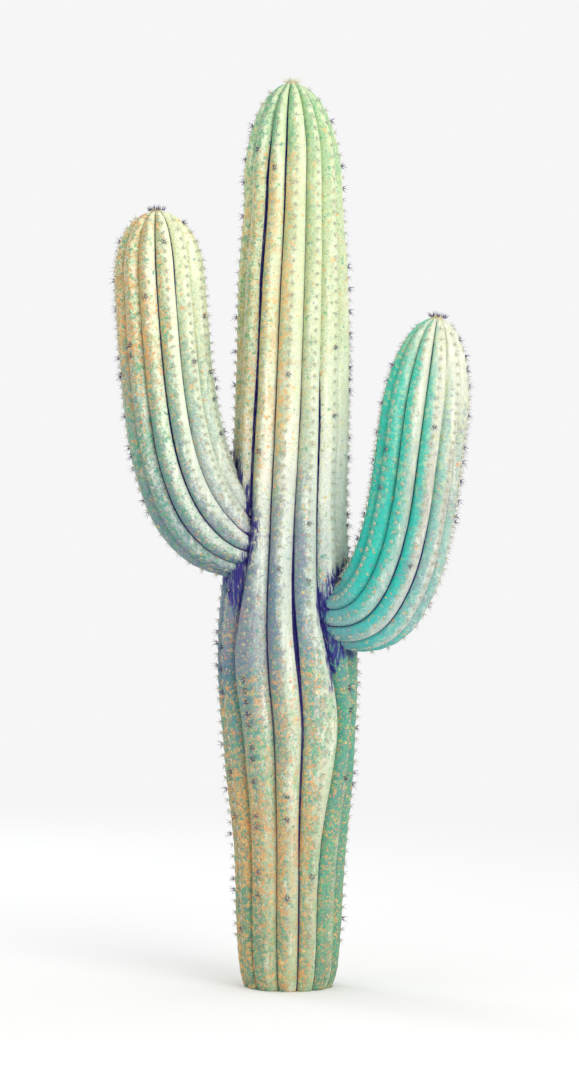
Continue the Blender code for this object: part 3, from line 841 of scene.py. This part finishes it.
class Nodes:
    """A material's node tree, with short ways to add to it."""

    def __init__(self, name):
        self.material = bpy.data.materials.new(name)
        self.material.use_nodes = True
        self.tree = self.material.node_tree
        self.shader = self.tree.nodes["Principled BSDF"]
        self.coordinates = self.add("TexCoord").outputs["Object"]

    def add(self, kind, **settings):
        node = self.tree.nodes.new("ShaderNode" + kind)
        for key, value in settings.items():
            setattr(node, key, value)
        return node

    def put(self, sockets, *values):
        """Links each socket to another one, or sets it to a plain value."""
        for socket, value in zip(sockets, values):
            if isinstance(value, bpy.types.NodeSocket):
                self.tree.links.new(value, socket)
            else:
                socket.default_value = value

    def feed(self, node, **inputs):
        """Does so with a node's inputs, named like its own with _ for a space."""
        self.put([node.inputs[key.replace("_", " ")] for key in inputs], *inputs.values())
        return node

    def fact(self, key):
        return self.add("Attribute", attribute_name=key).outputs["Fac"]

    def maths(self, operation, *values):
        node = self.add("Math", operation=operation)
        self.put(node.inputs, *values)
        return node.outputs[0]

    def times(self, first, *others):
        for other in others:
            first = self.maths("MULTIPLY", first, other)
        return first

    def swing(self, value, size, middle):
        """The middle, plus size times what a value from 0 to 1 has over a half."""
        return self.maths("MULTIPLY_ADD", self.maths("SUBTRACT", value, 0.5), size, middle)

    def between(self, value, low, high):
        """0 at low, 1 at high and smooth between them."""
        node = self.add("MapRange", interpolation_type="SMOOTHSTEP")
        return self.feed(node, Value=value, From_Min=low, From_Max=high).outputs["Result"]

    def level(self, value, edges, gain, least):
        """A level that rises by gain from least, between two edges of a value."""
        return self.maths("MULTIPLY_ADD", self.between(value, *edges), gain, least)

    def noise(self, scale, detail=3.0, around=1.0, along=1.0, shift=0.0, roughness=0.5):
        """Noise of scale waves to a metre, drawn out up the plant where along is under 1."""
        mapping = self.feed(self.add("Mapping"), Scale=(around, around, along), Location=[shift] * 3)
        self.feed(mapping, Vector=self.coordinates)
        node = self.feed(self.add("TexNoise"), Scale=scale, Detail=detail, Roughness=roughness)
        return self.feed(node, Vector=mapping.outputs[0]).outputs["Fac"]

    def moved(self, operation, *vectors):
        node = self.add("VectorMath", operation=operation)
        self.put(node.inputs, *vectors)
        return node.outputs[0]

    def cells(self, scale, wobble, shift):
        """Ragged cells, each with three random numbers from 0 to 1."""
        warp = self.feed(self.add("TexNoise"), Scale=scale * CELL_WARP, Detail=3.0, Vector=self.coordinates)
        shifted = self.moved("ADD", self.coordinates, [shift] * 3)
        ragged = self.moved("MULTIPLY_ADD", warp.outputs["Color"], [wobble] * 3, shifted)
        node = self.feed(self.add("TexVoronoi"), Scale=scale, Vector=ragged)
        split = self.feed(self.add("SeparateColor"), Color=node.outputs["Color"])
        return split.outputs[0], split.outputs[1], split.outputs[2]

    def mix(self, share, first, second):
        node = self.add("Mix", data_type="RGBA")
        self.put([node.inputs[number] for number in (0, 6, 7)], share, first, second)
        return node.outputs[2]

    def ramp(self, value, stops):
        node = self.feed(self.add("ValToRGB"), Fac=value)
        elements = node.color_ramp.elements
        while len(elements) < len(stops):
            elements.new(0.5)
        for element, (at, *colour) in zip(elements, stops):
            element.position = at
            element.color = srgb(*colour)
        return node.outputs["Color"]

    def bump(self, height, strength, distance, before=None):
        """The normal with one more relief over the ones before."""
        node = self.feed(self.add("Bump"), Strength=strength, Distance=distance, Height=height)
        if before is not None:
            self.feed(node, Normal=before)
        return node.outputs["Normal"]


def skin_material(name):
    """Waxy skin: pale painted light on the sunny flank of each rib and green painted shade on the other,
    speckled, with painted highlights and dark creases of painted shade.
    """
    look = SKINS[name]
    n = Nodes(name + "_skin")
    way, cork = n.fact("way"), n.fact("cork")
    streaks = n.noise(34.0, along=0.1, shift=5.0)
    blotches = n.noise(15.0, detail=4.0, shift=8.0, roughness=0.6)
    grain = n.noise(150.0, shift=1.0, roughness=0.7)
    layers = [n.cells(*layer[:3]) for layer in SPOTS]
    coarse, fine = layers[0], layers[1]

    # Painted light and shade: one flank of each rib is lit and the other shaded, over the lean of the whole
    # skin.
    wobble = n.swing(blotches, size=1.5, middle=n.fact("across"))
    flank = n.level(wobble, (-0.5, 0.45), gain=2 * look["flank"], least=-look["flank"])
    lean = n.swing(streaks, size=0.8, middle=n.maths("ADD", n.fact("lean"), flank))
    lean = n.swing(fine[2], size=0.35, middle=lean)
    sunny = n.between(lean, -0.9, 0.9)
    colour = n.mix(sunny, n.ramp(way, look["shade"]), n.ramp(way, look["light"]))
    straw = n.times(n.maths("GREATER_THAN", coarse[1], 0.8), n.between(way, 0.35, 0.6), STRAW_STRENGTH)
    colour = n.mix(straw, colour, STRAW)
    # A painted highlight: pale streaks on the sunny side.
    highlight = n.times(n.between(streaks, 0.53, 0.66), sunny, HIGHLIGHT_STRENGTH)
    colour = n.mix(highlight, colour, HIGHLIGHT_COLOUR)
    shady = n.level(lean, (0.9, -0.6), gain=0.88, least=0.12)
    colour = speckled(n, look, colour, layers, shady, grain)

    brightness = n.maths("MULTIPLY_ADD", n.maths("ADD", fine[2], blotches), 0.16, 0.85)
    tone = n.feed(n.add("HueSaturation"), Value=brightness, Color=colour)
    colour = n.mix(n.times(cork, n.between(grain, 0.5, 0.62)), tone.outputs["Color"], CORK_COLOUR)
    colour = n.mix(n.times(n.fact("crest"), CREST_FELT), colour, FELT_COLOUR)
    roughness = n.maths("MULTIPLY_ADD", grain, CORK_ROUGH, 0.46)
    roughness = n.maths("MULTIPLY_ADD", cork, CORK_ROUGH, roughness)
    n.feed(n.shader, Base_Color=with_painted_shade(n, colour), Roughness=roughness, Specular_IOR_Level=0.35)

    pores = n.bump(n.noise(380.0, detail=2.0), strength=0.35, distance=0.0015)
    dents = n.noise(46.0, detail=5.0, shift=13.0, roughness=0.65)
    dents = n.bump(dents, strength=0.7, distance=0.006, before=pores)
    wrinkles = n.noise(34.0, around=0.3, along=2.4, shift=19.0, roughness=0.6)
    wrinkles = n.bump(wrinkles, strength=0.45, distance=0.005, before=dents)
    bark = n.times(n.noise(75.0, detail=4.0, shift=17.0, roughness=0.7), cork)
    n.feed(n.shader, Normal=n.bump(bark, strength=0.9, distance=0.009, before=wrinkles))
    return n.material


def speckled(n, look, colour, layers, shady, grain):
    """The colour with its washes and speckles of amber, teal and mauve, most of them on the shady side."""
    cover = {"mauve": n.fact("mauve")}
    for key, (scale, shift, edges, gain, least) in CLUMPS.items():
        clumps = n.level(n.noise(scale, detail=4.0, shift=shift, roughness=0.6), edges, gain, least)
        cover[key] = n.maths("MINIMUM", n.times(n.fact(key), clumps), MOST_SPECKLED)
    for key, (washed, scale, along, shift, strength) in WASHES.items():
        wash = n.between(n.noise(scale, detail=4.0, along=along, shift=shift, roughness=0.55), 0.44, 0.62)
        colour = n.mix(n.times(wash, cover[key], strength), colour, washed)
    mauve, teal, amber = (n.times(cover[key], shady) for key in ("mauve", "teal", "amber"))
    pale = n.times(n.between(n.fact("way"), 0.5, 0.66), look["paling"])
    for cells, (*_, share, strength) in zip(layers, SPOTS):
        spots = n.maths("LESS_THAN", cells[1], n.times(mauve, share))
        colour = n.mix(n.times(spots, strength * MAUVE_STRENGTH), colour, MAUVE)
        spots = n.maths("GREATER_THAN", cells[1], n.maths("MULTIPLY_ADD", teal, -share, 1.0))
        colour = n.mix(n.times(spots, strength), colour, n.mix(cells[2], TEAL, LEAF))
        spots = n.maths("LESS_THAN", cells[0], n.times(amber, share))
        rust = n.mix(grain, PALE_AMBER, STRAW)
        rust = n.mix(n.maths("POWER", cells[2], 1.8), AMBER, rust)
        rust = n.mix(pale, rust, PALE_AMBER)
        colour = n.mix(n.times(spots, strength), colour, rust)
    return colour


def with_painted_shade(n, colour):
    """The colour with painted shade in its creases and painted shadow in its folds and under the arms,
    ragged and in strokes along the plant.
    """
    crease_shade, arm_shadow = n.fact("crease_shade"), n.fact("arm_shadow")
    edge = n.maths("MULTIPLY_ADD", crease_shade, *CREASE_EDGE)
    edge = n.swing(n.noise(70.0, detail=2.0, along=0.5, shift=31.0), CREASE_RAGGED, edge)
    crease = n.between(n.fact("side"), edge, n.maths("ADD", edge, CREASE_BLUR))
    strokes = n.noise(120.0, along=0.12, shift=91.0, roughness=0.7)
    strokes = n.level(strokes, (0.4, 0.5), gain=0.2, least=0.84)
    depth = n.times(n.level(crease_shade, (0.0, 0.4), gain=0.28, least=0.7), strokes)
    colour = n.mix(n.times(crease, depth), colour, CREASE_SHADE_COLOUR)
    hatch = n.noise(85.0, along=0.14, shift=41.0, roughness=0.65)
    dark = n.swing(hatch, FOLD_HATCH, n.times(arm_shadow, FOLD_SHADE))
    dark = n.times(n.between(dark, 0.2, 0.8), n.between(arm_shadow, 0.02, 0.25))
    depth = n.level(hatch, (0.38, 0.55), gain=0.3, least=0.68)
    return n.mix(n.times(dark, depth), colour, ARM_SHADOW_COLOUR)


def plain_material(name, colour, roughness):
    """A single colour with a fine grain, for spines and felt."""
    n = Nodes(name)
    grain = n.bump(n.noise(600.0, roughness=0.7), strength=0.5, distance=0.001)
    n.feed(n.shader, Base_Color=colour, Roughness=roughness, Specular_IOR_Level=0.3, Normal=grain)
    return n.material


def wool_material():
    n = Nodes("wool")
    tufts = n.ramp(n.noise(90.0, detail=5.0, roughness=0.75), WOOL_COLOURS)
    fluff = n.bump(n.noise(300.0, detail=4.0, roughness=0.8), strength=0.8, distance=0.003)
    n.feed(n.shader, Base_Color=tufts, Roughness=0.95, Specular_IOR_Level=0.15)
    n.feed(n.shader, Sheen_Weight=0.3, Normal=fluff)
    return n.material


# Pieces.


def piece(mesh, name, paint, slot, *replaced):
    """A piece of the plant. It stands for the solids named, if any."""
    obj = bpy.data.objects.new(name, mesh)
    bpy.context.scene.collection.objects.link(obj)
    mesh.materials.append(paint)
    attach(obj, "root")
    if replaced:
        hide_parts(*replaced)


def build_plant():
    rng = np.random.default_rng(SEED)

    def trunk_at(shares):
        return trunk_stem(shares * TRUNK_HEIGHT)

    trunk = skin("trunk", trunk_at(rows_to_tip(0.0, TRUNK_ROWS)), TRUNK_RIBS, TRUNK_COLUMNS)
    piece(trunk, "trunk_skin", skin_material("trunk"), "trunk_skin", "trunk")
    places = {"trunk": areoles("trunk", trunk_at, TRUNK_HEIGHT, TRUNK_RIBS)}
    tips = [(tuple(trunk_at(np.ones(1))["middle"][0]), (0.0, 0.0, 1.0))]
    for arm in ARMS:
        name = arm["name"]
        arm_at = partial(arm_stem, arm)
        mesh = skin(name, arm_at(rows_to_tip(ARM_HIDDEN, ARM_ROWS)), arm["ribs"], ARM_COLUMNS)
        piece(mesh, name + "_skin", skin_material(name), name + "_skin", name + "_elbow", name + "_upright")
        places[name] = areoles(name, arm_at, arm_line(arm)[2][-1], arm["ribs"])
        under, tip = arm_at(np.array([0.99, 1.0]))["middle"]
        tips.append((tuple(tip), tuple(tip - under)))
    felt = plain_material("areole_felt", FELT_COLOUR, 0.95)
    paints = {kind: plain_material(kind + "_spine", colour, 0.6) for kind, colour in SPINE_COLOURS.items()}
    for name, (feet, outs, alongs, owners) in places.items():
        slot = name + "_skin"
        dealt = dark_areoles(name, feet, outs, owners, rng)
        piece(felt_mesh(name + "_areoles", feet, outs, alongs, rng), name + "_areoles", felt, slot)
        for kind, paint in paints.items():
            chosen = dealt if kind == "dark" else ~dealt
            mesh = spine_mesh(name + "_spines", feet[chosen], outs[chosen], alongs[chosen], kind, rng)
            piece(mesh, f"{name}_{kind}_spines", paint, slot)
    piece(wool_mesh("tip_wool", tips), "tip_wool", wool_material(), "trunk_skin")
    bristles = crown_spines("trunk_tip_spines", tips[:1], WOOL_SPINES, rng)
    piece(bristles, "trunk_tip_spines", paints["pale"], "trunk_skin")
    bristles = crown_spines("arm_tip_spines", tips[1:], ARM_TIP_SPINES, rng)
    piece(bristles, "arm_tip_spines", paints["dark"], "left_arm_skin")


# Studio.

VIEW_HEIGHT = 5.4  # metres that the frame takes in at the plant
VIEW_DISTANCE = 16.0
EYE_LEVEL = 2.23
SENSOR = 36.0
FLOOR_RADIUS = 60.0
FLOOR_RINGS = 24
FLOOR_SIDES = 96
FLOOR_FADE = (3.0, 14.0)  # metres from the plant over which the floor melts into the backdrop
LIGHTS = (  # (name, place, target, size, power, colour)
    ("key", (6.5, -10.3, 7.0), (0.0, 0.0, 2.2), 8.0, 800.0, (1.0, 0.985, 0.965)),
    ("back", (-7.0, 8.0, 6.0), (0.0, 0.0, 2.4), 5.0, 300.0, (0.92, 0.96, 1.0)),
)


def aim(obj, place, target):
    obj.location = place
    obj.rotation_euler = (Vector(target) - Vector(place)).to_track_quat("-Z", "Y").to_euler()
    bpy.context.scene.collection.objects.link(obj)


def area_light(name, place, target, size, power, colour):
    light = bpy.data.lights.new(name, "AREA")
    light.shape = "DISK"
    light.size = size
    light.energy = power
    light.color = colour
    aim(bpy.data.objects.new(name, light), place, target)


def build_floor():
    """A pale floor that melts into the backdrop's colour far away."""
    vertices = [(0.0, 0.0, 0.0)]
    for k in range(1, FLOOR_RINGS + 1):
        reach = FLOOR_RADIUS * (k / FLOOR_RINGS) ** 2
        for side in range(FLOOR_SIDES):
            turn = 2 * math.pi * side / FLOOR_SIDES
            vertices.append((reach * math.cos(turn), reach * math.sin(turn), 0.0))
    faces = [(0, 1 + k, 1 + (k + 1) % FLOOR_SIDES) for k in range(FLOOR_SIDES)]
    faces += ring_faces(FLOOR_RINGS - 1, FLOOR_SIDES, 1)
    mesh = mesh_of("floor", vertices, faces)
    n = Nodes("floor")
    place = n.feed(n.add("SeparateXYZ"), Vector=n.coordinates)
    squares = [n.maths("POWER", place.outputs[k], 2.0) for k in (0, 1)]
    far = n.between(n.maths("SQRT", n.maths("ADD", *squares)), *FLOOR_FADE)
    n.feed(n.shader, Base_Color=FLOOR_COLOUR, Roughness=0.9, Specular_IOR_Level=0.0)
    glow = n.feed(n.add("Emission"), Color=WORLD_COLOUR)
    blend = n.add("MixShader")
    n.put(blend.inputs, far, n.shader.outputs[0], glow.outputs[0])
    n.feed(n.tree.nodes["Material Output"], Surface=blend.outputs[0])
    mesh.materials.append(n.material)
    floor = bpy.data.objects.new("floor", mesh)
    bpy.context.scene.collection.objects.link(floor)


def build_studio():
    scene = bpy.context.scene
    scene.view_settings.view_transform = "Standard"
    world = bpy.data.worlds.new("studio")
    world.use_nodes = True
    world.node_tree.nodes["Background"].inputs["Color"].default_value = WORLD_COLOUR
    scene.world = world
    build_floor()
    for light in LIGHTS:
        area_light(*light)
    camera = bpy.data.cameras.new("camera")
    camera.sensor_width = SENSOR
    camera.lens = SENSOR * VIEW_DISTANCE / VIEW_HEIGHT
    view = bpy.data.objects.new("camera", camera)
    aim(view, (0.0, -VIEW_DISTANCE, EYE_LEVEL), (0.0, 0.0, EYE_LEVEL))
    scene.camera = view


build_plant()
build_studio()
